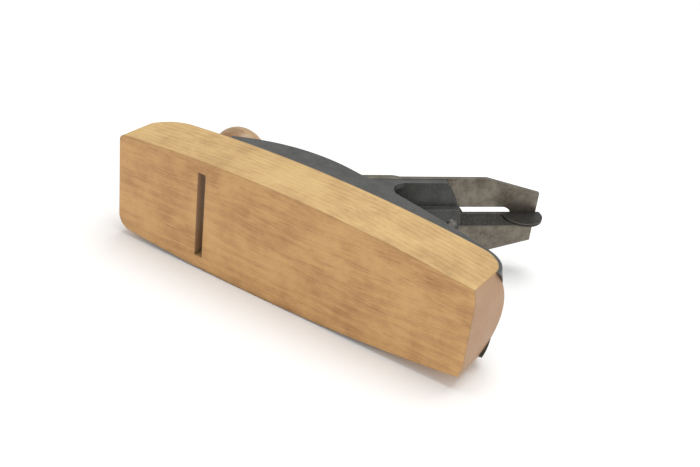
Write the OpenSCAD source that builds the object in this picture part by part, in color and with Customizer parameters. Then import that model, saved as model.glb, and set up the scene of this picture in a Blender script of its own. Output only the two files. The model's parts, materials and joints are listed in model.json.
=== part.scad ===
// Wooden bottomed smoothing plane with an iron top casting, standing on its sole.
// +X points to the toe, +Y to the left side, +Z up; the origin is at the sole's centre.

/* [Wooden stock] */
// Front end of the stock, measured from the sole's centre
toe_x = 101.6; // [90:0.1:120]
// Crown of the heel behind the sole's centre
heel_x = 103.4; // [95:0.1:120]
// Height of the stock from the sole to its flat top
stock_h = 31.8; // [28:0.1:40]
// Half of the width at the widest place
half_w = 30.3; // [29:0.1:36]
// Radius of the bowed sides, seen from above
side_r = 880; // [600:10:2000]
// Place of the widest cross section, forward of the sole's centre
bow_x = 14.3; // [0:0.1:30]
// Radius of the rounded top of the toe, seen from the side
toe_top_r = 20; // [8:0.5:26]
// Radius of the left corner of the toe, seen from above
toe_left_r = 3.5; // [1:0.5:10]
// Radius of the worn right corner of the toe, seen from above
toe_right_r = 8; // [1:0.5:12]
// Radius of the heel's end, seen from above
heel_plan_r = 87.4; // [60:0.2:160]
// Radius of the rounded top of the heel, seen from the side
heel_top_r = 11.5; // [6:0.5:18]
// How far the sole's rear edge is rounded under the crown of the heel
heel_under = 1.6; // [0.2:0.1:3]
// Height at which that under-rounding starts
heel_under_h = 22; // [10:1:26]

/* [Mouth and bed] */
// Place on the sole where the bed of the cutter comes out
bed_x = 46.2; // [35:0.1:55]
// Angle of the bed to the sole
bed_angle = 45; // [43:0.5:50]
// Length of the mouth from the bed to its front edge
mouth_l = 4.4; // [2:0.1:8]
// Width of the mouth
mouth_w = 46; // [45.4:0.1:48]
// Height of the upright front wall of the mouth
mouth_front_h = 4; // [2:0.5:8]
// How far the throat's front wall leans forward above that
throat_lean = 2.2; // [0:0.1:5]

/* [Top casting] */
// Thickness of the casting's floor
floor_t = 2.6; // [2:0.1:4]
// Thickness of the two side rails
rail_t = 3.2; // [2:0.1:4]
// Height of the rails above the sole at their highest place
rail_top = 46.5; // [40:0.1:50]
// Place of the highest part of the rails
rail_top_x = 8; // [0:0.5:20]
// Radius of the arched rails, seen from the side
rail_r = 102; // [80:1:160]
// Place where the rails start, behind the knob
rail_front_x = 57; // [50:0.5:60]
// Slope at which the rails run down to the heel, in degrees
rail_slope = 8.1; // [6:0.1:9]
// Wall thickness of the curved rear end of the casting
heel_shell_t = 1.6; // [1.2:0.1:2.4]
// Radius of the arch in the lower edge of the rear end, seen from behind
heel_arch_r = 30.4; // [29:0.1:34]
// Front edge of the throat opening in the floor
throat_front_x = 52.8; // [51:0.1:55]
// Half of the width of the throat opening in the floor
throat_half_w = 23.3; // [23:0.1:25]
// Radius of the pad under the knob
pad_r = 13.5; // [12:0.5:16]
// Half of the width where the floor narrows to that pad
neck_half_w = 24; // [16:0.5:26]

/* [Knob] */
// Place of the knob, forward of the sole's centre
knob_x = 75.5; // [70:0.5:80]
// Height of the knob
knob_h = 43.5; // [36:0.5:50]
// Largest radius of the knob
knob_r = 17; // [14:0.5:18]
// Radius that rounds the rim of the knob
knob_rim_r = 9.5; // [7:0.5:10]
// Smallest radius of the knob's neck
knob_neck_r = 8.4; // [7:0.1:10]
// Radius of the knob's foot
knob_foot_r = 12.5; // [11:0.5:13]
// Height of the bead at the foot
knob_bead_h = 3; // [2:0.5:4]

/* [Cutter and cap iron] */
// Width of the cutter
cutter_w = 44.45; // [43:0.05:45]
// Thickness of the cutter
cutter_t = 2.1; // [1.6:0.1:3]
// Distance of the cutting edge from the sole along the bed
edge_s = 3.5; // [2.5:0.1:5]
// Distance of the cutter's upper end from the sole along the bed
cutter_end_s = 173.7; // [168:0.1:190]
// Angle of the ground bevel
grind_angle = 27; // [22:1:32]
// Length of each clipped upper corner
clip_l = 30; // [20:0.5:36]
// Depth of each clipped upper corner
clip_d = 8.2; // [4:0.1:12]
// Width of the cutter's slot
slot_w = 11.8; // [11.4:0.1:12.4]
// Upper end of the cutter's slot
slot_end_s = 160.4; // [150:0.1:164]
// Centre of the round hole at the lower end of the slot
keyhole_s = 33; // [28:0.5:36]
// Radius of that round hole
keyhole_r = 7.5; // [6.5:0.1:9]
// Thickness of the cap iron
cap_t = 1.7; // [1.2:0.1:2.4]
// Set-back of the cap iron from the cutting edge
cap_setback = 1.6; // [0.8:0.1:3]
// Length of the arched front part of the cap iron
cap_arch_l = 21.9; // [16:0.1:26]
// Height of that arch over the cutter
cap_arch_h = 4.2; // [3:0.1:5]
// Upper end of the cap iron
cap_end_s = 114; // [111:0.5:118]

/* [Frog] */
// Width of the frog
frog_w = 43.8; // [40:0.1:44]
// Thickness of the frog's upper plate
frog_t = 4.2; // [3.5:0.1:6]
// Thickness of the frog's lower plate, where it is screwed down
frog_low_t = 8; // [6:0.1:10]
// Upper end of the thick lower plate
frog_low_s = 78; // [76:0.5:84]
// Upper end of the frog at its middle
frog_end_s = 129.8; // [129.5:0.1:136]
// Radius of the arched upper end
frog_end_r = 32; // [26:1:60]
// Half of the width of the raised band up the back
band_half_w = 8.3; // [7.8:0.1:10]
// Height of that raised band over the plate
band_h = 3.6; // [2:0.1:5]
// Thickness of the two side webs
web_t = 3; // [2:0.1:4]
// Place along the bed where the webs leave the plate
web_top_s = 91; // [84:0.5:94]
// Radius of the hollow between web and plate
web_fillet_r = 8.2; // [4:0.1:12]

/* [Frog screws and seat] */
// Place of the frog screws along the bed
frog_screw_s = 64; // [62:0.5:66]
// Half of the distance between the frog screws
frog_screw_y = 13; // [12.6:0.1:13.4]
// Radius of the frog screws
frog_screw_r = 2.4; // [2:0.1:3]
// Radius of their heads
frog_head_r = 4.4; // [4:0.1:4.6]
// Height of their heads
frog_head_h = 2.2; // [1.8:0.1:2.4]
// Thickness of the washers under the heads
washer_t = 0.8; // [0.6:0.1:1]
// Length of the screws below the washers
frog_screw_l = 11; // [8:0.5:12]
// Width of each raised seat under the frog
seat_w = 9.6; // [9.2:0.1:9.8]
// Upper end of the raised seats along the bed
seat_top_s = 69; // [68:0.5:70]

/* [Cap iron screw] */
// Place of the cap iron screw along the bed
cap_screw_s = 50; // [49:0.5:51]
// Radius of its thread
cap_screw_r = 3.95; // [3:0.05:4.2]
// Radius of its head
cap_head_r = 6.5; // [6.2:0.1:7]
// Height of its head
cap_head_h = 2.4; // [1.6:0.1:2.6]

/* [Lever cap] */
// Place of the lever cap screw along the bed
lever_screw_s = 72; // [71:0.5:73]
// Radius of the lever cap screw's neck
lever_screw_r = 3.2; // [2.8:0.1:3.4]
// Radius of its head
lever_head_r = 5.4; // [4.8:0.1:5.6]
// Height of its head
lever_head_h = 3.2; // [2.4:0.1:4]
// Lower end of the lever cap along the bed
lever_low_s = 12.5; // [11:0.1:14]
// Upper end of the lever cap
lever_end_s = 124; // [122:0.5:128]
// Thickness of the lever cap
lever_t = 3.8; // [3:0.1:5]
// Half of the width at the lower end
lever_low_half = 21.4; // [20:0.1:22]
// Half of the width at the upper end
lever_top_half = 14.4; // [14:0.1:15]
// End of the wide lower part
lever_wide_s = 30; // [26:0.5:34]
// Start of the narrow upper part
lever_narrow_s = 84; // [80:0.5:88]
// Radius of the big end of its keyhole
lever_hole_r = 6; // [5.8:0.1:6.4]
// Travel of the lever cap from locked to free
lever_travel = 10; // [8:0.5:11]
// Depth of the rims along its under side
lever_rim_h = 3.4; // [2:0.1:3.6]
// Thickness of those rims
lever_rim_t = 2.2; // [1.6:0.1:3]

/* [Cam and spring] */
// Place of the cam's pin along the bed
cam_s = 113; // [112:0.5:114]
// Radius of the cam's pin
cam_pin_r = 1.7; // [1.4:0.1:2]
// Radius of the cam
cam_r = 4.6; // [4.2:0.1:4.8]
// Width of the cam
cam_w = 13; // [11:0.5:15]
// Upper end of the cam's thumb plate along the bed
cam_end_s = 132.5; // [128:0.5:134]
// Half of the thumb plate's width
cam_thumb_half = 12.5; // [10:0.5:14]
// Thickness of the thumb plate
cam_thumb_t = 2.6; // [2:0.1:3.2]
// Thickness of the flat spring
spring_t = 0.8; // [0.6:0.1:1]
// Width of the flat spring
spring_w = 17; // [14:0.5:18]
// Place of the rivet that holds the spring
spring_rivet_s = 92; // [91:0.5:93]
// Free end of the spring
spring_end_s = 120; // [118:0.5:121]

/* [Depth adjuster] */
// Place of the yoke's pivot along the bed
yoke_s = 104; // [103:0.5:104.5]
// Distance of that pivot behind the cutter
yoke_p = 13; // [12.8:0.1:13.4]
// Length of the fork below the pivot
fork_l = 13; // [12.5:0.5:13.5]
// Thickness of the yoke's arms
yoke_t = 2.8; // [2.4:0.1:3]
// Width of the yoke's tip
tip_w = 6; // [5:0.1:6.4]
// Radius of the yoke's hub
yoke_hub_r = 4.2; // [3.6:0.1:4.4]
// Radius of the yoke's pin
yoke_pin_r = 1.6; // [1.4:0.1:1.8]
// Width of each fork prong
prong_w = 2.8; // [2.2:0.1:3.2]
// Radius of the adjusting stud
stud_r = 3.4; // [3:0.1:3.8]
// Radius of the boss that holds the stud
stud_boss_r = 6.2; // [5.6:0.1:6.4]
// Radius of the brass nut's wheel
nut_r = 12.4; // [11:0.1:13]
// Thickness of that wheel
nut_wheel_t = 8.4; // [6:0.1:9]
// Radius of the nut's grooved neck
nut_neck_r = 5.6; // [5.2:0.1:6]
// Radius of the nut's front flange
nut_flange_r = 9.2; // [8.6:0.1:9.6]
// Thickness of the nut's front flange
nut_flange_t = 1.8; // [1.4:0.1:2.2]
// Number of ridges round the wheel
nut_ridges = 48; // [32:1:60]

/* [Lateral lever] */
// Place of the lateral lever's pivot along the bed
lateral_s = 125.5; // [125:0.1:126]
// Distance from that pivot down to the roller
roller_l = 9.5; // [9:0.1:10]
// Radius of the roller
roller_r = 5.5; // [5:0.1:5.6]
// Width of the lever's strap
strap_w = 7.5; // [6:0.1:9]
// How far the strap lies to the right of the middle
strap_off = 0.55; // [0:0.05:1]
// Thickness of the strap
strap_t = 1.6; // [1.2:0.1:1.8]
// Radius of the strap's round eye
eye_r = 8.2; // [7.5:0.1:8.4]
// Radius of the pivot rivet
lateral_rivet_r = 2; // [1.6:0.1:2.4]
// Centre of the round thumb tab along the bed
tab_s = 165; // [160:0.5:170]
// Radius of the thumb tab
tab_r = 10.7; // [8:0.1:12]
// Distance of the tab's centre behind the strap
tab_p = 2.9; // [0:0.1:4]

/* [Casting screws] */
// Places of the wood screws that hold the casting, along the middle
casting_screw_x = [57.6, -58, -78];
// Radius of their heads
casting_head_r = 3.7; // [3.2:0.1:3.8]
// Radius of their shanks
casting_shank_r = 1.9; // [1.5:0.1:2.2]
// Length of the screws
casting_screw_l = 19; // [14:0.5:22]

/* [Hidden] */
$fn = 64;
// Sides of the large arcs
big_fn = 1440;
// Overshoot that lets a cut pass clean through a face
over = 1;
// Running clearance of pins and threads, radially
run = 0.05;
// Clearance between the cutter and what it slides on
slide_gap = 0.05;
// Clearance of holes round fixed fasteners
snug = 0.02;
// Clearance at places that never touch
clear = 0.3;

// Half width of the stock at a place along it
function half_at(x) = half_w - side_r + sqrt(side_r * side_r - (x - bow_x) * (x - bow_x));
floor_top = stock_h + floor_t;
// How far the heel's corners stay behind its crown
heel_half = half_at(-heel_x + 3);
half_end_in = heel_plan_r - sqrt(heel_plan_r * heel_plan_r - heel_half * heel_half);
// Centre of the heel's plan arc
heel_c = heel_plan_r - heel_x;
// Height along the rail's straight part
// The arch ends a little short of touching the straight run
rail_end_a = rail_slope - 1.2;
rail_tan_x = rail_top_x - rail_r * sin(rail_end_a);
rail_tan_z = rail_top - rail_r * (1 - cos(rail_end_a));
// Outer radius of the casting's rear end, and where the rails run out into it
shell_r = heel_top_r + heel_shell_t;
rail_rear_x = heel_x - half_end_in - heel_top_r + shell_r * sin(rail_slope);
rail_rear_z = stock_h - heel_top_r + shell_r * cos(rail_slope);
// Levels counted from the back of the cutter, towards the front
cutter_face = -cutter_t;
cap_face = cutter_face - cap_t;
cap_arch_rr = (cap_arch_l * cap_arch_l / 4 + cap_arch_h * cap_arch_h) / (2 * cap_arch_h);
cap_low_s = edge_s + cap_setback;
cap_arch_s = cap_low_s + cap_arch_l / 2;
cap_arch_p = cutter_face - cap_arch_h + cap_arch_rr;
cap_peak = cap_arch_p - cap_arch_rr - cap_t;
lever_under = cap_peak - 0.2;
lever_face = lever_under - lever_t;
// Travel of the cutter down and up along the bed
depth_down = 4.2;
depth_up = 1;
// Where the bed meets the floor of the casting
floor_s = floor_top / sin(bed_angle);
// The yoke's pivot in the row frame
yoke_x = bed_x - yoke_s * cos(bed_angle) - yoke_p * sin(bed_angle);
yoke_z = yoke_s * sin(bed_angle) - yoke_p * cos(bed_angle);
stud_z = yoke_z - fork_l;
// Swing of the yoke while the cutter goes down and up
tip_l = yoke_p - cap_face;
// Length of the fork's prongs below the stud
fork_tip = 2.5;
fork_back = (fork_l + fork_tip) * depth_down / (tip_l - cap_t / 2);
fork_front = (fork_l + fork_tip) * depth_up / (tip_l - cap_t / 2);
groove_front_x = yoke_x + yoke_t / 2 + fork_front + clear;
groove_rear_x = yoke_x - yoke_t / 2 - fork_back - clear;
nut_front_x = groove_front_x + nut_flange_t;
nut_rear_x = groove_rear_x - nut_wheel_t;
stud_root_x = nut_front_x + 1.2;
// The cap iron screw's hollow in the bed
hollow_low_s = cap_screw_s - depth_down - cap_head_r - clear;
hollow_top_s = cap_screw_s + depth_up + cap_head_r + clear;
hollow_half = cap_head_r + 0.9;
hollow_d = cap_head_h + 0.5;
wood_color = "#c8934f";
casting_color = "#3d4043";
steel_color = "#8d8a84";
brass_color = "#b8944a";

// Turns a piece drawn along the bed into its place: x runs up the bed, z points behind the cutter
module on_bed() {
  translate([bed_x, 0, 0])
    rotate([0, 180 + bed_angle, 0])
      children();
}

// A shape drawn in the side view, x forward and y up, made w wide about the middle
module side_view(w) {
  rotate([90, 0, 0])
    linear_extrude(w, center = true)
      children();
}

// A profile drawn with x up the bed and y behind the cutter, made w wide about the middle
module bed_profile(w) {
  on_bed()
    side_view(w)
      children();
}

// A cylinder square to the bed, from level p0 to p1
module bed_pin(s, y, p0, p1, r) {
  on_bed()
    translate([s, y, p0])
      cylinder(h = p1 - p0, r = r);
}

// A block on the bed from s0 to s1, p0 to p1, w wide about the middle
module bed_block(s0, s1, p0, p1, w) {
  on_bed()
    translate([s0, -w / 2, p0])
      cube([s1 - s0, w, p1 - p0]);
}

// A cylinder along the row's x axis
module pin_x(x0, x1, z, r) {
  translate([x0, 0, z])
    rotate([0, 90, 0])
      cylinder(h = x1 - x0, r = r);
}

// A cylinder across the plane
module pin_y(x, z, w, r) {
  translate([x, 0, z])
    rotate([90, 0, 0])
      cylinder(h = w, r = r, center = true);
}

// Bowed outline seen from above, set in by a wall
module coffin(inset = 0) {
  intersection() {
    translate([bow_x, side_r - half_w])
      circle(r = side_r - inset, $fn = big_fn);
    translate([bow_x, half_w - side_r])
      circle(r = side_r - inset, $fn = big_fn);
    translate([-2 * heel_x, -2 * half_w])
      square([4 * heel_x, 4 * half_w]);
  }
}

// What rounding a toe corner takes away: the round crosses both faces at a slight angle
module toe_corner(r) {
  cx = toe_x - r;
  cy = half_w - side_r + sqrt((side_r - r) * (side_r - r) - (cx - bow_x) * (cx - bow_x));
  lean = asin((cx - bow_x) / (side_r - r));
  cross = 0.04;
  difference() {
    polygon([[cx, cy], [cx + 2 * r * sin(lean), cy + 2 * r * cos(lean)], [toe_x + over, cy + 2 * r], [toe_x + over, cy]]);
    translate([cx + cross, cy + cross])
      circle(r = r);
  }
}

module stock_outline() {
  difference() {
    intersection() {
      coffin();
      translate([-heel_x, -2 * half_w])
        square([heel_x + toe_x, 4 * half_w]);
    }
    toe_corner(toe_left_r);
    mirror([0, 1])
      toe_corner(toe_right_r);
  }
}

// Turns a profile, x outward from the heel's centre and y up, round the end of the heel
module round_heel() {
  translate([-heel_x + heel_plan_r, 0, 0])
    rotate([0, 0, 90])
      rotate_extrude(angle = 180, $fn = 240)
        children();
}

// What lies behind the curved end of the stock
module heel_outside() {
  round_heel()
    translate([heel_plan_r, -over])
      square([2 * heel_top_r, stock_h + 2 * over]);
}

// What the rounding under the casting takes off the stock, above the arch in its end
module heel_rounding() {
  difference() {
    round_heel()
      difference() {
        translate([heel_plan_r - heel_top_r, stock_h - heel_top_r])
          square([heel_top_r + over, heel_top_r + over]);
        translate([heel_plan_r - heel_top_r, stock_h - heel_top_r])
          circle(r = heel_top_r);
      }
    pin_x(-2 * heel_x, -rail_tan_x / 2, 0, heel_arch_r - slide_gap);
  }
}

// Ring of the casting's rear wall, over the rounded top of the heel
module heel_shell() {
  shell_c = heel_plan_r - heel_top_r;
  round_heel()
    difference() {
      intersection() {
        translate([shell_c, stock_h - heel_top_r])
          circle(r = shell_r);
        translate([shell_c - over, stock_h - heel_top_r])
          square([shell_r + 2 * over, shell_r + 2 * over]);
      }
      translate([shell_c, stock_h - heel_top_r])
        circle(r = heel_top_r);
      square([shell_c, stock_h]);
    }
}

// Side view of the throat in the wood
module throat_profile(back = 0) {
  h = stock_h + over;
  t = tan(bed_angle);
  polygon([[bed_x + over / t - back, -over], [bed_x - h / t - back, h], [throat_front_x, h],
           [throat_front_x, stock_h], [bed_x + mouth_l, mouth_front_h], [bed_x + mouth_l, -over]]);
}

// Hollow in the bed for the head of the cap iron screw
module cap_head_hollow() {
  bed_block(hollow_low_s, hollow_top_s, -over, hollow_d, 2 * hollow_half);
}

module stock() {
  // The arc under the heel is centred above its upper end, so that it meets the end at a slight angle
  rise = 10;
  under_r = (heel_under_h * heel_under_h + 2 * heel_under_h * rise) / (2 * heel_under);
  under_x = sqrt(under_r * under_r - rise * rise) - heel_x;
  color(wood_color)
    difference() {
      linear_extrude(stock_h)
        stock_outline();
      side_view(4 * half_w)
        difference() {
          translate([toe_x - toe_top_r, stock_h - toe_top_r])
            square(toe_top_r + over);
          translate([toe_x - toe_top_r, stock_h - toe_top_r])
            circle(r = toe_top_r, $fn = 128);
        }
      heel_outside();
      heel_rounding();
      side_view(4 * half_w)
        difference() {
          translate([-heel_x - over, -over])
            square([2 * heel_under + over, heel_under_h + over]);
          translate([under_x, heel_under_h + rise])
            circle(r = under_r, $fn = big_fn);
        }
      side_view(mouth_w)
        throat_profile(slide_gap * 3);
      cap_head_hollow();
      for (x = casting_screw_x)
        translate([x, 0, floor_top - casting_screw_l - snug])
          cylinder(h = casting_screw_l, r = casting_shank_r + snug);
      translate([knob_x, 0, stock_h - pad_boss_h])
        cylinder(h = pad_boss_h + over, r = pad_boss_r + snug);
      translate([knob_x, 0, knob_bolt_low - snug])
        cylinder(h = stock_h, r = knob_bolt_r + snug);
    }
}
pad_boss_h = 9;
pad_boss_r = 6;
knob_bolt_r = 2.5;
knob_bolt_low = 17;

// Outline of the casting's floor: the coffin shape, the neck and the knob's pad
module floor_outline() {
  // Direction of the straight edges from the neck to the pad
  dx = knob_x - rail_front_x;
  reach = sqrt(dx * dx + neck_half_w * neck_half_w);
  edge = atan2(neck_half_w, dx) - asin(pad_r / reach);
  px = knob_x + pad_r * sin(edge);
  py = pad_r * cos(edge);
  union() {
    intersection() {
      coffin();
      translate([-heel_x, -2 * half_w])
        square([heel_x + rail_front_x, 4 * half_w]);
      translate([-heel_x + heel_plan_r, 0])
        union() {
          circle(r = heel_plan_r - heel_top_r, $fn = 240);
          translate([0, -2 * half_w])
            square([heel_plan_r, 4 * half_w]);
        }
    }
    polygon([[rail_front_x - over, neck_half_w], [rail_front_x, neck_half_w], [px, py],
             [px, -py], [rail_front_x, -neck_half_w], [rail_front_x - over, -neck_half_w]]);
    translate([knob_x, 0])
      circle(r = pad_r);
  }
}

// Side view of the rails: an arch, then a straight run down to the heel
module rail_profile() {
  intersection() {
    union() {
      intersection() {
        translate([rail_top_x, rail_top - rail_r])
          circle(r = rail_r, $fn = 360);
        translate([rail_tan_x, stock_h])
          square([rail_front_x - rail_tan_x, rail_top]);
      }
      polygon([[rail_tan_x + over, stock_h - over], [rail_tan_x + over, rail_tan_z - over], [rail_tan_x, rail_tan_z],
               [-rail_rear_x, rail_rear_z], [-rail_rear_x, stock_h - over]]);
    }
    translate([-2 * heel_x, stock_h])
      square([4 * heel_x, rail_top]);
  }
}

// One raised seat for the frog, under its lower plate
module frog_seat(y) {
  translate([0, y, 0])
    bed_profile(seat_w)
      polygon([[floor_s + frog_low_t - over, frog_low_t], [seat_top_s, frog_low_t],
               [seat_top_s, seat_top_s - floor_s + over]]);
}

module top_casting() {
  color(casting_color)
    difference() {
      union() {
        difference() {
          translate([0, 0, stock_h])
            linear_extrude(floor_t)
              floor_outline();
          // The opening of the throat, whose rear edge carries on the bed
          side_view(2 * throat_half_w)
            polygon([[bed_x - (stock_h - over) / tan(bed_angle) - slide_gap, stock_h - over],
                     [bed_x - (floor_top + over) / tan(bed_angle) - slide_gap, floor_top + over],
                     [throat_front_x, floor_top + over], [throat_front_x, stock_h - over]]);
        }
        intersection() {
          translate([0, 0, stock_h])
            linear_extrude(rail_top)
              difference() {
                coffin();
                coffin(rail_t);
              }
          side_view(4 * half_w)
            rail_profile();
        }
        intersection() {
          heel_shell();
          linear_extrude(floor_top + over)
            coffin();
        }
        for (side = [-1, 1])
          frog_seat(side * frog_screw_y);
        translate([knob_x, 0, stock_h - pad_boss_h])
          cylinder(h = pad_boss_h + over, r = pad_boss_r);
      }
      pin_x(-2 * heel_x, -rail_tan_x / 2, 0, heel_arch_r);
      // The floor runs down to the thin rear end along the line of the rails
      side_view(4 * half_w)
        polygon([[-rail_rear_x - 2 * shell_r, floor_top + over], [-rail_rear_x - 2 * shell_r, rail_rear_z - rear_drop(2 * shell_r)],
                 [-rail_rear_x + rear_run, rail_rear_z + rear_rise], [-rail_rear_x + rear_run, floor_top + over]]);
      for (x = casting_screw_x)
        translate([x, 0, 0])
          screw_hole();
      for (side = [-1, 1])
        bed_pin(frog_screw_s, side * frog_screw_y, 0, frog_screw_end + snug, frog_screw_r + snug);
      translate([knob_x, 0, 0])
        cylinder(h = 2 * stock_h, r = knob_bolt_r + snug);
      cap_head_hollow();
    }
}
frog_seat_p = frog_head_h + washer_t + 0.3;
frog_screw_end = frog_seat_p + frog_screw_l;

// The rails' slope carried across the floor, a hair below the rear end's round
rear_k = (rail_tan_z - rail_rear_z) / (rail_tan_x + rail_rear_x);
function rear_drop(d) = rear_k * d + 0.03;
rear_run = (floor_top + 0.5 - rail_rear_z) / rear_k;
rear_rise = rear_k * rear_run - 0.03;

// Countersunk hole for one wood screw
module screw_hole() {
  translate([0, 0, floor_top - casting_head_r + casting_shank_r])
    cylinder(h = casting_head_r - casting_shank_r + snug, r1 = casting_shank_r + snug, r2 = casting_head_r + 2 * snug);
  translate([0, 0, floor_top])
    cylinder(h = over, r = casting_head_r + 2 * snug);
  cylinder(h = floor_top, r = casting_shank_r + snug);
}

// Three slotted flat-head wood screws
module casting_screws() {
  cone_h = casting_head_r - casting_shank_r;
  color(steel_color)
    for (x = casting_screw_x)
      translate([x, 0, floor_top])
        difference() {
          union() {
            translate([0, 0, -cone_h])
              cylinder(h = cone_h, r1 = casting_shank_r, r2 = casting_head_r);
            translate([0, 0, -casting_screw_l + 3])
              cylinder(h = casting_screw_l - 3 - cone_h, r = casting_shank_r);
            translate([0, 0, -casting_screw_l])
              cylinder(h = 3, r1 = 0.3, r2 = casting_shank_r);
          }
          translate([-casting_head_r - over, -0.45, -0.9])
            cube([2 * (casting_head_r + over), 0.9, 2]);
        }
}

// Side view of one web: plate above, hollow corner, and an edge square to the bed down to the floor
module web_profile() {
  top = web_top_s + web_fillet_r;
  difference() {
    polygon([[floor_s, slide_gap], [frog_end_s + over, slide_gap], [frog_end_s + over, frog_t], [top, frog_t],
             [web_top_s, frog_t + web_fillet_r], [web_top_s, (web_top_s - floor_s) * tan(bed_angle) + over],
             [floor_s, over]]);
    translate([top, frog_t + web_fillet_r])
      circle(r = web_fillet_r);
  }
}

module frog() {
  color(casting_color)
    difference() {
      union() {
        // Plate, thick where it is screwed down, between the webs, and its raised band
        bed_profile(frog_w - web_t)
          polygon([[floor_s, slide_gap], [frog_end_s + over, slide_gap], [frog_end_s + over, frog_t],
                   [frog_low_s, frog_t], [frog_low_s, frog_low_t], [floor_s, frog_low_t]]);
        bed_block(frog_low_s - over, frog_end_s + over, 2 * slide_gap, frog_t + band_h, 2 * band_half_w);
        for (side = [-1, 1])
          translate([0, side * (frog_w - web_t) / 2, 0])
            bed_profile(web_t)
              web_profile();
        // Boss for the adjusting stud
        intersection() {
          pin_x(stud_root_x, bed_x, stud_z, stud_boss_r);
          bed_block(0, frog_end_s, frog_t, frog_end_s, 4 * stud_boss_r);
        }
        // Ears that carry the yoke's pin
        for (side = [-1, 1])
          translate([0, side * (ear_in + ear_t / 2), 0])
            bed_profile(ear_t)
              union() {
                translate([yoke_s, yoke_p])
                  circle(r = ear_r);
                translate([yoke_s - ear_r, frog_t])
                  square([2 * ear_r, yoke_p - frog_t]);
              }
      }
      // What lies outside the arched upper end
      on_bed()
        translate([0, 0, -over])
          linear_extrude(frog_t + band_h + 2 * over)
            difference() {
              translate([frog_end_s - frog_end_r, -frog_w])
                square([2 * frog_end_r, 2 * frog_w]);
              translate([frog_end_s - frog_end_r, 0])
                circle(r = frog_end_r, $fn = 128);
            }
      // Everything below the floor of the casting
      translate([-heel_x, -half_w, 0])
        cube([2 * heel_x, 2 * half_w, floor_top]);
      // Hollows and holes in the face
      cap_head_hollow();
      bed_block(lateral_s - roller_l - roller_r - over, frog_end_s + over, -over, strap_p + strap_t + 0.15,
                2 * (eye_r + 0.6));
      bed_block(yoke_s - yoke_t / 2 - depth_down - clear, yoke_s + yoke_t / 2 + depth_up + clear,
                -over, yoke_p - yoke_hub_r, tip_w + 2 * clear);
      bed_pin(lever_screw_s, 0, -over, frog_low_t + snug, lever_screw_r + snug);
      for (side = [-1, 1]) {
        bed_pin(frog_screw_s, side * frog_screw_y, -over, frog_seat_p, frog_head_r + 0.6);
        bed_pin(frog_screw_s, side * frog_screw_y, -over, frog_low_t + over, frog_screw_r + 0.2);
      }
      pin_x(stud_root_x - over, stud_thread_x + snug, stud_z, stud_r + snug);
      on_bed()
        translate([yoke_s, 0, yoke_p])
          rotate([90, 0, 0])
            cylinder(h = 4 * band_half_w, r = yoke_pin_r + snug, center = true);
      bed_pin(lateral_s, 0, 0, frog_t + band_h + over, lateral_rivet_r + snug);
    }
}
// Level of the lateral lever's strap behind the cutter
strap_p = 0.2;
// Ears of the yoke: inner face, thickness and radius
ear_in = tip_w / 2 + 2.6;
ear_t = 2.6;
ear_r = 4;
// How far the stud is screwed into its boss
stud_thread_x = stud_root_x + 11;

// Two fillister-head screws square to the bed
module frog_screws() {
  color(steel_color)
    for (side = [-1, 1])
      difference() {
        union() {
          bed_pin(frog_screw_s, side * frog_screw_y, 0.3, 0.3 + frog_head_h, frog_head_r);
          bed_pin(frog_screw_s, side * frog_screw_y, 0.3, frog_screw_end, frog_screw_r);
        }
        on_bed()
          translate([frog_screw_s - frog_head_r - over, side * frog_screw_y - 0.5, -over])
            cube([2 * (frog_head_r + over), 1, over + 1.3]);
      }
}

module frog_washers() {
  color(steel_color)
    for (side = [-1, 1])
      difference() {
        bed_pin(frog_screw_s, side * frog_screw_y, 0.3 + frog_head_h, frog_seat_p, frog_head_r + 0.4);
        bed_pin(frog_screw_s, side * frog_screw_y, 0, frog_low_t, frog_screw_r + snug);
      }
}

// Turned profile of the knob, x outward and y up from the pad
module knob_profile() {
  head_h = 12;
  rim_c = knob_r - knob_rim_r;
  rim_z = knob_h - head_h;
  // Dome that runs smoothly into the rim
  dome_r = (rim_c * rim_c + head_h * head_h - knob_rim_r * knob_rim_r) / (2 * (head_h - knob_rim_r));
  dome_z = knob_h - dome_r;
  slope = atan2(rim_c, rim_z - dome_z);
  // Cove of the neck that runs smoothly into the rim from below
  a = knob_neck_r - rim_c;
  b = rim_z - knob_neck_z;
  cove_r = (a * a + b * b - knob_rim_r * knob_rim_r) / (2 * (knob_rim_r - a));
  cove_x = knob_neck_r + cove_r;
  join_x = rim_c + knob_rim_r * (cove_x - rim_c) / (cove_r + knob_rim_r);
  join_z = rim_z - knob_rim_r * b / (cove_r + knob_rim_r);
  intersection() {
    union() {
      translate([rim_c, rim_z])
        circle(r = knob_rim_r);
      intersection() {
        translate([0, dome_z])
          circle(r = dome_r, $fn = 128);
        polygon([[0, dome_z], [2 * dome_r * sin(slope), dome_z + 2 * dome_r * cos(slope)], [0, dome_z + 2 * dome_r]]);
      }
      translate([0, knob_bead_h])
        square([rim_c, rim_z - knob_bead_h]);
      difference() {
        translate([0, knob_bead_h - 0.1])
          square([join_x, join_z - knob_bead_h + 0.1]);
        translate([cove_x, knob_neck_z])
          circle(r = cove_r, $fn = 128);
      }
      square([knob_foot_r - knob_bead_h / 2, knob_bead_h]);
      translate([knob_foot_r - knob_bead_h / 2, knob_bead_h / 2])
        circle(r = knob_bead_h / 2);
    }
    square([2 * knob_r, 2 * knob_h]);
  }
}
// Height of the narrowest place of the knob
knob_neck_z = 12;
// The nut let into the top of the knob
knob_nut_r = 5.2;
knob_nut_h = 7;

module knob() {
  color(wood_color)
    translate([knob_x, 0, floor_top])
      difference() {
        rotate_extrude()
          knob_profile();
        translate([0, 0, -over])
          cylinder(h = knob_h, r = knob_bolt_r + 0.2);
        translate([0, 0, knob_h - knob_nut_h])
          cylinder(h = knob_nut_h + over, r = knob_nut_r + snug);
      }
}

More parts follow.
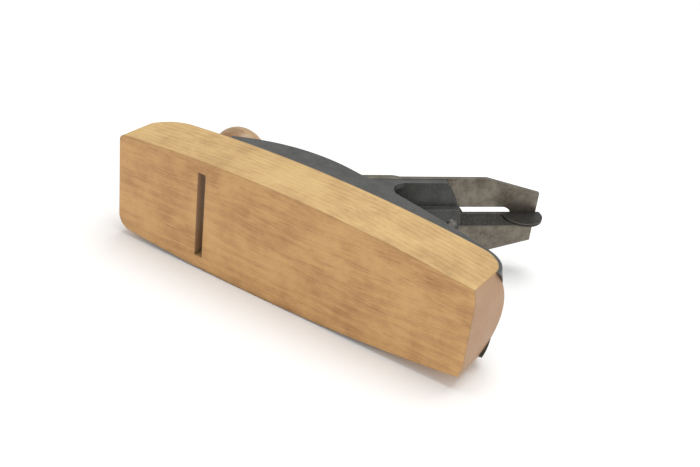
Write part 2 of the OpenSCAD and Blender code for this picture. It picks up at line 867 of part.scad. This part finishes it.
module knob_bolt() {
  color(steel_color)
    translate([knob_x, 0, knob_bolt_low])
      cylinder(h = floor_top + knob_h - 3 - knob_bolt_low, r = knob_bolt_r);
}

module knob_nut() {
  color(brass_color)
    translate([knob_x, 0, floor_top + knob_h - knob_nut_h])
      difference() {
        union() {
          cylinder(h = knob_nut_h - 0.6, r = knob_nut_r);
          translate([0, 0, knob_nut_h - 0.6])
            cylinder(h = 0.8, r1 = knob_nut_r, r2 = knob_nut_r - 1.2);
        }
        translate([0, 0, -over])
          cylinder(h = knob_nut_h - 3 + over, r = knob_bolt_r + snug);
        translate([-knob_nut_r - over, -0.6, knob_nut_h - 1.2])
          cube([2 * (knob_nut_r + over), 1.2, 3]);
      }
}

// Outline of the cutter on the bed
module cutter_outline() {
  difference() {
    polygon([[edge_s, -cutter_w / 2], [cutter_end_s - clip_l, -cutter_w / 2],
             [cutter_end_s, clip_d - cutter_w / 2], [cutter_end_s, cutter_w / 2 - clip_d],
             [cutter_end_s - clip_l, cutter_w / 2], [edge_s, cutter_w / 2]]);
    translate([keyhole_s, 0])
      circle(r = keyhole_r);
    translate([keyhole_s, -slot_w / 2])
      square([slot_end_s - slot_w / 2 - keyhole_s, slot_w]);
    translate([slot_end_s - slot_w / 2, 0])
      circle(r = slot_w / 2);
  }
}

module cutter() {
  color(steel_color)
    difference() {
      on_bed()
        translate([0, 0, -cutter_t])
          linear_extrude(cutter_t)
            cutter_outline();
      bed_profile(2 * cutter_w)
        polygon([[edge_s, -cutter_t], [edge_s + cutter_t / tan(grind_angle), 0],
                 [edge_s + cutter_t / tan(grind_angle), over], [edge_s - over, over], [edge_s - over, -cutter_t]]);
    }
}

// Side view of the cap iron: an arch that comes down on the cutter, then a flat
module cap_profile() {
  difference() {
    union() {
      intersection() {
        translate([cap_arch_s, cap_arch_p])
          circle(r = cap_arch_rr + cap_t, $fn = 128);
        translate([cap_low_s, cap_arch_p - 2 * cap_arch_rr])
          square([cap_arch_l, cutter_face - cap_arch_p + 2 * cap_arch_rr]);
      }
      translate([cap_low_s + cap_arch_l, cap_face])
        square([cap_end_s - cap_low_s - cap_arch_l, cap_t]);
      translate([cap_arch_s, cap_face])
        square([cap_arch_l / 2 + over, cap_t]);
    }
    translate([cap_arch_s, cap_arch_p])
      circle(r = cap_arch_rr, $fn = 128);
    // The ground leading edge
    polygon([[cap_low_s + 0.1, cutter_face + 0.2], [cap_low_s + 2, cutter_face - 3.4],
             [cap_low_s - over, cutter_face - 4], [cap_low_s - over, cutter_face + 0.2]]);
  }
}

// Length of the oval hole that clears the lever cap screw
oval_r = lever_head_r + 0.5;
oval_low_s = lever_screw_s - depth_up;
oval_top_s = lever_screw_s + depth_down;

module cap_iron() {
  color(steel_color)
    difference() {
      intersection() {
        bed_profile(cutter_w - 0.2)
          cap_profile();
        on_bed()
          translate([0, 0, -over - 2 * cap_arch_rr])
            linear_extrude(4 * cap_arch_rr)
              union() {
                translate([cap_end_s - cutter_w / 2, 0])
                  circle(r = cutter_w / 2, $fn = 128);
                translate([0, -cutter_w / 2])
                  square([cap_end_s - cutter_w / 2, cutter_w]);
              }
      }
      bed_pin(cap_screw_s, 0, 2 * cap_face, 0, cap_screw_r + run);
      on_bed()
        translate([0, 0, 2 * cap_face])
          linear_extrude(-2 * cap_face)
            union() {
              translate([oval_low_s, 0])
                circle(r = oval_r);
              translate([oval_top_s, 0])
                circle(r = oval_r);
              translate([oval_low_s, -oval_r])
                square([oval_top_s - oval_low_s, 2 * oval_r]);
            }
      bed_block(yoke_s - yoke_t / 2 - 0.5, yoke_s + yoke_t / 2 + 0.5, 2 * cap_face, 0, tip_w + 4);
    }
}

module cap_iron_screw() {
  color(steel_color)
    difference() {
      union() {
        bed_pin(cap_screw_s, 0, 0, cap_head_h, cap_head_r);
        bed_pin(cap_screw_s, 0, cap_face - 0.8, 0, cap_screw_r);
      }
      on_bed()
        translate([cap_screw_s - cap_head_r - over, -0.7, cap_head_h - 1.1])
          cube([2 * (cap_head_r + over), 1.4, 2]);
    }
}

module lever_cap_screw() {
  color(steel_color)
    difference() {
      union() {
        bed_pin(lever_screw_s, 0, lever_face - 0.1, frog_low_t, lever_screw_r);
        bed_pin(lever_screw_s, 0, lever_face - 0.1 - lever_head_h + 1, lever_face - 0.1, lever_head_r);
        on_bed()
          translate([lever_screw_s, 0, lever_face - 0.1 - lever_head_h])
            cylinder(h = 1, r1 = lever_head_r - 1.2, r2 = lever_head_r);
      }
      on_bed()
        translate([lever_screw_s - lever_head_r - over, -0.6, lever_face - 0.1 - lever_head_h - over])
          cube([2 * (lever_head_r + over), 1.2, 1.2 + over]);
    }
}

// Outline of the lever cap: wide below, drawn in along two arcs, rounded on top
module lever_outline(inset = 0) {
  a = lever_low_half - inset;
  b = lever_top_half - inset;
  n = 10;
  // Half width along the drawn-in middle, easing out of both ends
  waist = [for (i = [0:n]) [lever_wide_s + (lever_narrow_s - lever_wide_s) * i / n,
                            a + (b - a) * (1 - cos(180 * i / n)) / 2]];
  end_s = lever_end_s - inset;
  low_s = lever_low_s + inset;
  corner = 5;
  union() {
    polygon(concat([[low_s, a]], waist, [[end_s - corner, b]],
                   [[end_s - corner, -b]],
                   [for (i = [n:-1:0]) [waist[i][0], -waist[i][1]]], [[low_s, -a]]));
    for (side = [-1, 1])
      translate([end_s - corner, side * (b - corner)])
        circle(r = corner);
    translate([end_s - corner, corner - b])
      square([corner, 2 * (b - corner)]);
  }
}

// Level of the cam's pin
cam_p = lever_face + 1.4;
// Slot in the lever cap that the cam works in
cam_slot_half = cam_w / 2 + clear;

module lever_cap() {
  color(casting_color)
    difference() {
      union() {
        on_bed()
          translate([0, 0, lever_face])
            linear_extrude(lever_t)
              lever_outline();
        // Rims that stiffen the under side above the screw
        on_bed()
          translate([0, 0, lever_under])
            linear_extrude(lever_rim_h)
              difference() {
                intersection() {
                  lever_outline();
                  translate([lever_screw_s + 14, -2 * lever_low_half])
                    square([lever_end_s, 4 * lever_low_half]);
                }
                lever_outline(lever_rim_t);
              }
        // Ears on both sides of the cam
        for (side = [-1, 1])
          translate([0, side * (cam_slot_half + ear_w / 2), 0])
            bed_profile(ear_w)
              union() {
                translate([cam_s, cam_p])
                  circle(r = cam_ear_r);
                translate([cam_s - cam_ear_r, cam_p])
                  square([2 * cam_ear_r, lever_under - cam_p]);
              }
      }
      // The front end is thinned for the shavings
      bed_profile(4 * lever_low_half)
        polygon([[lever_low_s - over, lever_face - over], [lever_low_s + 9, lever_face - over],
                 [lever_low_s + 9, lever_face], [lever_low_s, lever_under - 1.2], [lever_low_s - over, lever_under - 1.2]]);
      // Keyhole
      on_bed()
        translate([0, 0, lever_face - over])
          linear_extrude(lever_t + 2 * over)
            union() {
              translate([lever_screw_s - lever_travel, 0])
                circle(r = lever_hole_r);
              translate([lever_screw_s, 0])
                circle(r = lever_screw_r + 0.2);
              translate([lever_screw_s - lever_travel, -lever_screw_r - 0.2])
                square([lever_travel, 2 * (lever_screw_r + 0.2)]);
            }
      // Slot for the cam, open at the upper end
      bed_block(cam_s - cam_r - 1.2, lever_end_s + over, lever_face - 4 * over, lever_under + lever_rim_h + over,
                2 * cam_slot_half);
      on_bed()
        translate([cam_s, 0, cam_p])
          rotate([90, 0, 0])
            cylinder(h = 4 * cam_slot_half, r = cam_pin_r + snug, center = true);
      bed_pin(spring_rivet_s, 0, lever_face - over, lever_under + over, spring_rivet_r + snug);
      bed_pin(spring_rivet_s, 0, lever_face - over, lever_face + 0.7, spring_rivet_r + 0.8 + snug);
    }
}
ear_w = 4;
cam_ear_r = 3.6;
spring_rivet_r = 1.5;

// The spring's free length, and its depth below the lever cap at a share of that length
spring_flat_s = spring_rivet_s + 4;
spring_free = spring_end_s - spring_flat_s;
spring_bow = cap_face - lever_under - spring_t - slide_gap;
spring_crown = 0.62;
function spring_rise(u) = u < spring_crown ? spring_bow * (1 - cos(180 * u / spring_crown)) / 2
                                           : spring_bow - (u - spring_crown);

// Bowed leaf under the lever cap
module lever_cap_spring() {
  n = 16;
  s0 = spring_rivet_s - 5;
  lower = [for (i = [0:n]) [spring_flat_s + spring_free * i / n, lever_under + spring_t + spring_rise(i / n)]];
  upper = [for (i = [n:-1:0]) [spring_flat_s + spring_free * i / n, lever_under + spring_rise(i / n)]];
  color(steel_color)
    difference() {
      bed_profile(spring_w)
        polygon(concat([[s0, lever_under], [s0, lever_under + spring_t]], lower, upper));
      bed_pin(spring_rivet_s, 0, lever_face, 0, spring_rivet_r + snug);
    }
}

module spring_rivet() {
  color(steel_color)
    union() {
      bed_pin(spring_rivet_s, 0, lever_face, lever_under + spring_t, spring_rivet_r);
      bed_pin(spring_rivet_s, 0, lever_face, lever_face + 0.7, spring_rivet_r + 0.8);
      bed_pin(spring_rivet_s, 0, lever_under + spring_t, lever_under + spring_t + 0.8, spring_rivet_r + 1);
    }
}

module cam_pin() {
  color(steel_color)
    on_bed()
      translate([cam_s, 0, cam_p])
        rotate([90, 0, 0])
          cylinder(h = 2 * (cam_slot_half + ear_w), r = cam_pin_r, center = true);
}

// Cam with its thumb plate, which lies along the bed when it is locked
module cam_lever() {
  plate_p = cam_p - cam_ear_r + 0.4;
  color(steel_color)
    difference() {
      union() {
        bed_profile(cam_w)
          union() {
            translate([cam_s, cam_p + cam_lift])
              circle(r = cam_r);
            translate([cam_s, plate_p])
              square([cam_end_s - cam_s - 6, cam_thumb_t]);
          }
        on_bed()
          translate([0, 0, plate_p])
            linear_extrude(cam_thumb_t)
              intersection() {
                translate([cam_end_s - thumb_r, 0])
                  circle(r = thumb_r, $fn = 128);
                translate([lever_end_s + 0.6, -cam_thumb_half])
                  square([cam_end_s, 2 * cam_thumb_half]);
              }
      }
      on_bed()
        translate([cam_s, 0, cam_p])
          rotate([90, 0, 0])
            cylinder(h = 2 * cam_w, r = cam_pin_r + run, center = true);
    }
}
// The cam's round is set off from its pin so far that it just presses on the spring
cam_lift = lever_under + spring_rise((cam_s - spring_flat_s) / spring_free) - slide_gap - cam_r - cam_p;
// Radius of the thumb plate's round end
thumb_r = 16;

module adjusting_stud() {
  color(steel_color)
    pin_x(nut_rear_x - 3, stud_thread_x, stud_z, stud_r);
}

// Brass nut: front flange, grooved neck for the fork, ridged wheel
module adjusting_nut() {
  ridge_r = 0.55;
  color(brass_color)
    difference() {
      union() {
        pin_x(groove_front_x, nut_front_x, stud_z, nut_flange_r);
        pin_x(nut_rear_x, nut_front_x, stud_z, nut_neck_r);
        pin_x(nut_rear_x, groove_rear_x, stud_z, nut_r - ridge_r);
        translate([nut_rear_x + 1, 0, stud_z])
          rotate([0, 90, 0])
            for (i = [0:nut_ridges - 1])
              rotate([0, 0, 360 * i / nut_ridges])
                translate([nut_r - 2 * ridge_r, 0, 0])
                  rotate([0, 0, 45])
                    translate([-ridge_r * 0.7, -ridge_r * 0.7, 0])
                      cube([ridge_r * 2.1, ridge_r * 2.1, nut_wheel_t - 2]);
      }
      pin_x(nut_rear_x - over, nut_front_x + over, stud_z, stud_r + run);
      pin_x(nut_rear_x - over, nut_rear_x + 1.4, stud_z, nut_neck_r + 1.2);
    }
}

// Yoke: a tip through the cutter's slot, a hub, and a fork over the nut's groove
module depth_yoke() {
  prong_in = nut_neck_r + clear;
  prong_out = prong_in + prong_w;
  bar_z = prong_in - fork_l;
  color(casting_color)
    difference() {
      union() {
        on_bed()
          translate([yoke_s - yoke_t / 2, -tip_w / 2, cap_face])
            cube([yoke_t, tip_w, yoke_p - cap_face]);
        pin_y(yoke_x, yoke_z, 2 * (ear_in - clear), yoke_hub_r);
        translate([yoke_x - yoke_t / 2, 0, yoke_z])
          rotate([90, 0, 90])
            linear_extrude(yoke_t)
              polygon([[-tip_w / 2, 0], [-tip_w / 2, -yoke_hub_r], [-prong_out, bar_z + 1.2],
                       [-prong_out, -fork_l - fork_tip], [-prong_in, -fork_l - fork_tip], [-prong_in, bar_z],
                       [prong_in, bar_z], [prong_in, -fork_l - fork_tip], [prong_out, -fork_l - fork_tip],
                       [prong_out, bar_z + 1.2], [tip_w / 2, -yoke_hub_r], [tip_w / 2, 0]]);
      }
      pin_y(yoke_x, yoke_z, 4 * ear_in, yoke_pin_r + run);
    }
}

module yoke_pin() {
  color(steel_color)
    pin_y(yoke_x, yoke_z, 2 * (ear_in + ear_t), yoke_pin_r);
}

// Lateral lever: round eye, roller arm, strap and a half-round tab turned to the rear
module lateral_lever() {
  roller_s = lateral_s - roller_l;
  tab_y = strap_w / 2 - strap_off - strap_t;
  color(steel_color)
    difference() {
      union() {
        on_bed()
          translate([0, 0, strap_p])
            linear_extrude(strap_t)
              union() {
                translate([lateral_s, 0])
                  circle(r = eye_r);
                translate([roller_s, 0])
                  circle(r = strap_w / 2);
                translate([roller_s, -strap_w / 2])
                  square([roller_l, strap_w]);
                translate([lateral_s, -strap_w / 2 - strap_off])
                  square([tab_s + 4 - lateral_s, strap_w]);
                translate([tab_s + 4, -strap_off])
                  circle(r = strap_w / 2);
              }
        // The tab is a disc cut off along the strap's edge
        on_bed()
          translate([0, tab_y + strap_t, strap_p])
            rotate([90, 0, 0])
              linear_extrude(strap_t)
                intersection() {
                  translate([tab_s, tab_p])
                    circle(r = tab_r, $fn = 96);
                  translate([tab_s - 2 * tab_r, 0])
                    square([4 * tab_r, 2 * tab_r]);
                }
      }
      bed_pin(lateral_s, 0, -over, strap_t + over, lateral_rivet_r + run);
      bed_pin(roller_s, 0, -over, strap_t + over, roller_rivet_r + snug);
    }
}
roller_rivet_r = 1.4;

module lateral_rivet() {
  back = frog_t + band_h;
  color(steel_color)
    union() {
      bed_pin(lateral_s, 0, strap_p - 0.1, back, lateral_rivet_r);
      on_bed()
        translate([lateral_s, 0, back])
          cylinder(h = 0.9, r1 = lateral_rivet_r + 1, r2 = lateral_rivet_r);
    }
}

module lateral_roller() {
  color(steel_color)
    difference() {
      bed_pin(lateral_s - roller_l, 0, cutter_face + 0.2, strap_p, roller_r);
      bed_pin(lateral_s - roller_l, 0, cutter_face, over, roller_rivet_r + snug);
    }
}

module roller_rivet() {
  color(steel_color)
    bed_pin(lateral_s - roller_l, 0, cutter_face + 0.2, strap_p + strap_t, roller_rivet_r);
}

stock();
top_casting();
casting_screws();
frog();
frog_screws();
frog_washers();
knob();
knob_bolt();
knob_nut();
cutter();
cap_iron();
cap_iron_screw();
lever_cap_screw();
lever_cap();
lever_cap_spring();
spring_rivet();
cam_pin();
cam_lever();
adjusting_stud();
adjusting_nut();
depth_yoke();
yoke_pin();
lateral_lever();
lateral_rivet();
lateral_roller();
roller_rivet();
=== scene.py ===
import json
import bpy
from mathutils import Matrix, Vector

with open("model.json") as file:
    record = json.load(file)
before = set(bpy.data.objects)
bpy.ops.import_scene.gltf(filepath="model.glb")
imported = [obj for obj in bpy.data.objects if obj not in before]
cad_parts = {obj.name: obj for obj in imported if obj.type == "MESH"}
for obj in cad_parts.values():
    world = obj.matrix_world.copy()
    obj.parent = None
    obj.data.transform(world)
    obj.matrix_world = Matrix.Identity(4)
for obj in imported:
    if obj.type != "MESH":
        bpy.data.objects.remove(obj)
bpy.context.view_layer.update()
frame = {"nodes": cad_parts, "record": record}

nodes = frame["nodes"]


def srgb(text):
    """Linear RGBA of an sRGB hex colour."""
    values = [int(text[i:i + 2], 16) / 255 for i in (1, 3, 5)]
    return [v / 12.92 if v <= 0.04045 else ((v + 0.055) / 1.055) ** 2.4 for v in values] + [1]


def add(tree, kind, inputs=None, **settings):
    """Adds a shader node; inputs are plain values or the sockets that feed them.

    A colour mix takes its factor at 0 and its two colours at 6 and 7, and gives its result at 2.
    """
    made = tree.nodes.new(kind)
    for name, value in settings.items():
        setattr(made, name, value)
    for key, value in (inputs or {}).items():
        if isinstance(value, bpy.types.NodeSocket):
            tree.links.new(value, made.inputs[key])
        else:
            made.inputs[key].default_value = value
    return made


# Camera
# It stands over the sole's left side, on the side of the mouth; the plane lies on its right side.
# Its place, its three directions and its lens were fitted to the outlines in the photograph.
sensor_mm = 36
lens_mm = 54.93
eye = Vector((-0.24144, 0.25792, -0.35977))
right = Vector((-0.83111745, 0.11183962, 0.54473451))
down = Vector((-0.35211364, -0.86402134, -0.35983761))
ahead = Vector((0.43041814, -0.49087577, 0.75748347))

camera_data = bpy.data.cameras.new("camera")
camera_data.sensor_width = sensor_mm
camera_data.lens = lens_mm
camera_data.clip_start = 0.01
camera = bpy.data.objects.new("camera", camera_data)
bpy.context.collection.objects.link(camera)
turn = Matrix((right, -down, -ahead)).transposed()
camera.matrix_world = Matrix.Translation(eye) @ turn.to_4x4()
bpy.context.scene.camera = camera
bpy.context.scene.view_settings.view_transform = "Standard"
bpy.context.scene.view_settings.look = "None"

# Light
# A wide soft light over the table, a weak one from the camera's side and an even white room,
# as in a product photograph.
room_strength = 0.6
lamp_target = Vector((0, 0, 0.02))
lamps = {  # name: (place in metres, size in metres, power in watts)
    "over the table": ((-0.1, 1.1, 0.2), 0.9, 9.6),
    "camera side": ((-0.9, 0.7, -0.7), 0.8, 1.0),
}

world = bpy.data.worlds.new("room")
bpy.context.scene.world = world
world.use_nodes = True
world.node_tree.nodes["Background"].inputs["Color"].default_value = srgb("#ffffff")
world.node_tree.nodes["Background"].inputs["Strength"].default_value = room_strength
for name, (place, size, power) in lamps.items():
    lamp_data = bpy.data.lights.new(name, "AREA")
    lamp_data.size = size
    lamp_data.energy = power
    lamp = bpy.data.objects.new(name, lamp_data)
    lamp.location = place
    lamp.rotation_euler = (lamp_target - Vector(place)).to_track_quat("-Z", "Y").to_euler()
    bpy.context.collection.objects.link(lamp)

# Table
# A white sheet that the plane's right side lies on, 0.15 mm clear of it. Seen from below it is
# not there, so that views from that side show the plane.
table_y = -0.03045
table_size = 6

bpy.ops.mesh.primitive_plane_add(size=table_size)
table = bpy.context.object
table.name = "table"
for vertex in table.data.vertices:
    vertex.co = Vector((vertex.co.x, table_y, vertex.co.y))
table.data.update()
if table.data.polygons[0].normal.y < 0:
    table.data.flip_normals()
paper = bpy.data.materials.new("white table")
paper.use_nodes = True
tree = paper.node_tree
tree.nodes.clear()
place = add(tree, "ShaderNodeTexCoord").outputs["Object"]
# Fine fibres of the paper, about 1 mm
fibre = add(tree, "ShaderNodeTexNoise", {"Vector": place, "Scale": 900.0, "Detail": 3.0})
fibre_bump = add(tree, "ShaderNodeBump", {"Height": fibre.outputs["Fac"], "Strength": 0.25, "Distance": 0.0003})
sheet = add(tree, "ShaderNodeBsdfDiffuse", {"Color": srgb("#f4f4f3"), "Normal": fibre_bump.outputs["Normal"]})
glow = add(tree, "ShaderNodeEmission", {"Color": srgb("#ffffff"), "Strength": 0.06})
lit = add(tree, "ShaderNodeAddShader", {0: sheet.outputs[0], 1: glow.outputs[0]})
side = add(tree, "ShaderNodeNewGeometry").outputs["Backfacing"]
gone = add(tree, "ShaderNodeBsdfTransparent")
both = add(tree, "ShaderNodeMixShader", {0: side, 1: lit.outputs[0], 2: gone.outputs[0]})
add(tree, "ShaderNodeOutputMaterial", {"Surface": both.outputs[0]})
table.data.materials.append(paper)


def wood(name, pale, mid, dark, end, gloss):
    """Beech along X: rings, grain streaks, short dark flecks, grey end grain, a painted light tint on the side facing
    +Y, and grime with painted shade in corners.
    """
    made = bpy.data.materials.new(name)
    made.use_nodes = True
    tree = made.node_tree
    bsdf = tree.nodes["Principled BSDF"]
    coords = add(tree, "ShaderNodeTexCoord")
    place, facing = coords.outputs["Object"], coords.outputs["Normal"]
    # Slow wander of the grain: up to 12 mm aside over about 100 mm
    wander_at = add(tree, "ShaderNodeVectorMath", {0: place, 1: (9.0, 22.0, 22.0)}, operation="MULTIPLY")
    wander = add(tree, "ShaderNodeTexNoise", {"Vector": wander_at.outputs[0], "Scale": 1.0, "Detail": 1.0})
    push = add(tree, "ShaderNodeVectorMath", {0: wander.outputs["Color"], 1: (0.0, 0.012, 0.012)},
               operation="MULTIPLY")
    bent = add(tree, "ShaderNodeVectorMath", {0: place, 1: push.outputs[0]}, operation="ADD")
    # Growth rings, 3.4 mm apart, about a heart beyond the left edge of the sole
    centre = add(tree, "ShaderNodeVectorMath", {0: bent.outputs[0], 1: (0.0, -0.055, 0.075)}, operation="ADD")
    flat = add(tree, "ShaderNodeVectorMath", {0: centre.outputs[0], 1: (0.1, 1.0, 1.0)}, operation="MULTIPLY")
    ring_r = add(tree, "ShaderNodeVectorMath", {0: flat.outputs[0]}, operation="LENGTH")
    ring_w = add(tree, "ShaderNodeMath", {0: ring_r.outputs["Value"], 1: 1850.0}, operation="MULTIPLY")
    ring = add(tree, "ShaderNodeMath", {0: ring_w.outputs[0]}, operation="SINE")
    ring_part = add(tree, "ShaderNodeMath", {0: ring.outputs[0], 1: 0.022}, operation="MULTIPLY")
    # Streaks 17 mm long and 1 mm wide
    streak_at = add(tree, "ShaderNodeVectorMath", {0: bent.outputs[0], 1: (60.0, 1100.0, 1100.0)},
                    operation="MULTIPLY")
    streak = add(tree, "ShaderNodeTexNoise",
                 {"Vector": streak_at.outputs[0], "Scale": 1.0, "Detail": 6.0, "Roughness": 0.7})
    streak_part = add(tree, "ShaderNodeMath", {0: streak.outputs["Fac"], 1: 0.42, 2: ring_part.outputs[0]},
                      operation="MULTIPLY_ADD")
    # Cloudy patches of handling and oil, 30 mm across
    cloud = add(tree, "ShaderNodeTexNoise", {"Vector": place, "Scale": 34.0, "Detail": 4.0, "Roughness": 0.65})
    tone = add(tree, "ShaderNodeMath", {0: cloud.outputs["Fac"], 1: 0.58, 2: streak_part.outputs[0]},
               operation="MULTIPLY_ADD")
    ramp = add(tree, "ShaderNodeValToRGB", {"Fac": tone.outputs[0]})
    ramp.color_ramp.elements[0].position = 0.34
    ramp.color_ramp.elements[0].color = srgb(dark)
    ramp.color_ramp.elements[1].position = 0.72
    ramp.color_ramp.elements[1].color = srgb(pale)
    between = ramp.color_ramp.elements.new(0.54)
    between.color = srgb(mid)
    # Ray flecks 2 mm long
    fleck_at = add(tree, "ShaderNodeVectorMath", {0: bent.outputs[0], 1: (420.0, 2600.0, 2600.0)},
                   operation="MULTIPLY")
    fleck = add(tree, "ShaderNodeTexNoise", {"Vector": fleck_at.outputs[0], "Scale": 1.0, "Detail": 2.0})
    fleck_mask = add(tree, "ShaderNodeMapRange",
                     {"Value": fleck.outputs["Fac"], "From Min": 0.6, "From Max": 0.72, "To Max": 0.45})
    flecked = add(tree, "ShaderNodeMix", {0: fleck_mask.outputs[0], 6: ramp.outputs["Color"], 7: srgb(dark)},
                  data_type="RGBA")
    # The end grain at heel and toe is darker and greyer
    parts = add(tree, "ShaderNodeSeparateXYZ", {0: facing})
    endwise = add(tree, "ShaderNodeMath", {0: parts.outputs["X"]}, operation="ABSOLUTE")
    end_mask = add(tree, "ShaderNodeMapRange",
                   {"Value": endwise.outputs[0], "From Min": 0.72, "From Max": 0.98, "To Max": 0.85})
    end_tone = add(tree, "ShaderNodeMix", {0: cloud.outputs["Fac"], 6: srgb(dark), 7: srgb(end)}, data_type="RGBA")
    ended = add(tree, "ShaderNodeMix", {0: end_mask.outputs[0], 6: flecked.outputs[2], 7: end_tone.outputs[2]},
                data_type="RGBA")
    # Painted light: the left side, facing +Y up to the lamp over the table, is tinted less red and more green and
    # blue than the sole
    lit_side_tint_mask = add(tree, "ShaderNodeMapRange", {"Value": parts.outputs["Y"], "From Min": 0.5, "From Max": 0.9})
    lit_side_tint = add(tree, "ShaderNodeMix", {0: lit_side_tint_mask.outputs[0], 6: ended.outputs[2], 7: (0.9, 1.06, 1.12, 1)},
                 data_type="RGBA", blend_type="MULTIPLY")
    # Grime with painted shade: dark brown in corners and round the mouth, where ambient occlusion finds them
    grime_and_shade_occlusion = add(tree, "ShaderNodeAmbientOcclusion", {"Distance": 0.004}, samples=8)
    grime_and_shade_mask = add(tree, "ShaderNodeMapRange",
                     {"Value": grime_and_shade_occlusion.outputs["AO"], "From Min": 0.35, "From Max": 0.85, "To Min": 0.7, "To Max": 0.0})
    grimed_and_shaded = add(tree, "ShaderNodeMix", {0: grime_and_shade_mask.outputs[0], 6: lit_side_tint.outputs[2], 7: srgb("#3a2616")},
                data_type="RGBA")
    tree.links.new(grimed_and_shaded.outputs[2], bsdf.inputs["Base Color"])
    rough = add(tree, "ShaderNodeMapRange",
                {"Value": cloud.outputs["Fac"], "To Min": gloss + 0.1, "To Max": gloss - 0.06})
    tree.links.new(rough.outputs[0], bsdf.inputs["Roughness"])
    # Soft arrises of 0.9 mm, then dents of 8 mm and the pores
    arris = add(tree, "ShaderNodeBevel", {"Radius": 0.0009}, samples=6)
    dents = add(tree, "ShaderNodeTexNoise", {"Vector": place, "Scale": 130.0, "Detail": 2.0})
    dent_bump = add(tree, "ShaderNodeBump",
                    {"Height": dents.outputs["Fac"], "Strength": 0.3, "Distance": 0.0006, "Normal": arris.outputs[0]})
    pore_bump = add(tree, "ShaderNodeBump",
                    {"Height": streak.outputs["Fac"], "Strength": 0.35, "Distance": 0.00015,
                     "Normal": dent_bump.outputs[0]})
    tree.links.new(pore_bump.outputs[0], bsdf.inputs["Normal"])
    return made


def metal(name, base, worn, stain, shine, metallic, rough, grain):
    """Iron or steel: base colour with stains, bright worn edges, and fine marks of the given size."""
    made = bpy.data.materials.new(name)
    made.use_nodes = True
    tree = made.node_tree
    bsdf = tree.nodes["Principled BSDF"]
    place = add(tree, "ShaderNodeTexCoord").outputs["Object"]
    # Stains of 8 mm, then freckles of about 1 mm
    blotch = add(tree, "ShaderNodeTexNoise", {"Vector": place, "Scale": 120.0, "Detail": 5.0, "Roughness": 0.7})
    blotch_mask = add(tree, "ShaderNodeMapRange",
                      {"Value": blotch.outputs["Fac"], "From Min": 0.42, "From Max": 0.66})
    stained = add(tree, "ShaderNodeMix", {0: blotch_mask.outputs[0], 6: srgb(base), 7: srgb(stain)},
                  data_type="RGBA")
    freckle = add(tree, "ShaderNodeTexNoise", {"Vector": place, "Scale": grain, "Detail": 3.0})
    freckle_mask = add(tree, "ShaderNodeMapRange",
                       {"Value": freckle.outputs["Fac"], "From Min": 0.5, "From Max": 0.8, "To Max": 0.22})
    freckled = add(tree, "ShaderNodeMix", {0: freckle_mask.outputs[0], 6: stained.outputs[2], 7: srgb(worn)},
                   data_type="RGBA")
    # Edges worn bright, 0.4 mm wide
    arris = add(tree, "ShaderNodeBevel", {"Radius": 0.0004}, samples=6)
    flat = add(tree, "ShaderNodeNewGeometry").outputs["Normal"]
    turned = add(tree, "ShaderNodeVectorMath", {0: arris.outputs[0], 1: flat}, operation="DOT_PRODUCT")
    edge_mask = add(tree, "ShaderNodeMapRange",
                    {"Value": turned.outputs["Value"], "From Min": 0.995, "From Max": 0.86, "To Max": shine})
    edged = add(tree, "ShaderNodeMix", {0: edge_mask.outputs[0], 6: freckled.outputs[2], 7: srgb(worn)},
                data_type="RGBA")
    tree.links.new(edged.outputs[2], bsdf.inputs["Base Color"])
    bsdf.inputs["Metallic"].default_value = metallic
    roughness = add(tree, "ShaderNodeMapRange",
                    {"Value": blotch.outputs["Fac"], "From Min": 0.3, "From Max": 0.7,
                     "To Min": rough - 0.08, "To Max": rough + 0.1})
    tree.links.new(roughness.outputs[0], bsdf.inputs["Roughness"])
    skin = add(tree, "ShaderNodeBump",
               {"Height": freckle.outputs["Fac"], "Strength": 0.25, "Distance": 0.0002, "Normal": arris.outputs[0]})
    tree.links.new(skin.outputs[0], bsdf.inputs["Normal"])
    return made


# Stock
# Old beech, oiled and handled: tan sole, a left side made golden by a painted light tint where it faces the lamp,
# grey-brown end grain at the heel.
beech = wood("beech", pale="#e0b273", mid="#d1a167", dark="#a97848", end="#b0957f", gloss=0.5)

# Top casting, frog and lever cap
# Black japanning gone dull grey, worn to bare iron along the rims.
japan = metal("black japanning", base="#434442", worn="#98958f", stain="#343533",
              shine=0.55, metallic=0.0, rough=0.4, grain=1500.0)

# Cutter and cap iron
# Grey-brown patina on plain steel.
cutter_steel = metal("patinated steel", base="#7d766b", worn="#a39c92", stain="#625a4f",
                     shine=0.5, metallic=0.85, rough=0.4, grain=1100.0)

# Lateral lever
# Darker steel with a brown stain.
lever_steel = metal("dark steel", base="#3a3936", worn="#a39c92", stain="#2d2925",
                    shine=0.7, metallic=0.6, rough=0.42, grain=1500.0)

# Screws, pins, washers and the spring
# Dull steel, the same for all.
screw_steel = metal("dull screw steel", base="#77746f", worn="#b5b1aa", stain="#4f4a44",
                    shine=0.6, metallic=0.85, rough=0.4, grain=900.0)

# Cam and yoke
# Bare grey iron, rougher than the steel.
grey_iron = metal("grey iron", base="#62605c", worn="#a09c95", stain="#47423c",
                  shine=0.6, metallic=0.6, rough=0.5, grain=600.0)

# Depth nut and knob nut
# Tarnished brass.
brass = metal("tarnished brass", base="#9a7b42", worn="#d0ad68", stain="#6e542c",
              shine=0.6, metallic=0.95, rough=0.38, grain=700.0)

# Knob
# Beech under an old dark varnish.
knob_wood = wood("varnished beech", pale="#cba57f", mid="#b68a63", dark="#85603f", end="#8a6a50", gloss=0.34)

# All pieces
# Each takes the finish of the material slot that the record gives it.
finish = {
    "beech": beech, "knob_wood": knob_wood, "japanned_iron": japan, "bright_iron": grey_iron,
    "cutter_steel": cutter_steel, "lever_steel": lever_steel, "screw_steel": screw_steel, "brass": brass,
}
slots = {part["node"]: part["material_slot"] for part in frame["record"]["subparts"]}
for name, piece in nodes.items():
    piece.data.materials.clear()
    piece.data.materials.append(finish[slots[name]])
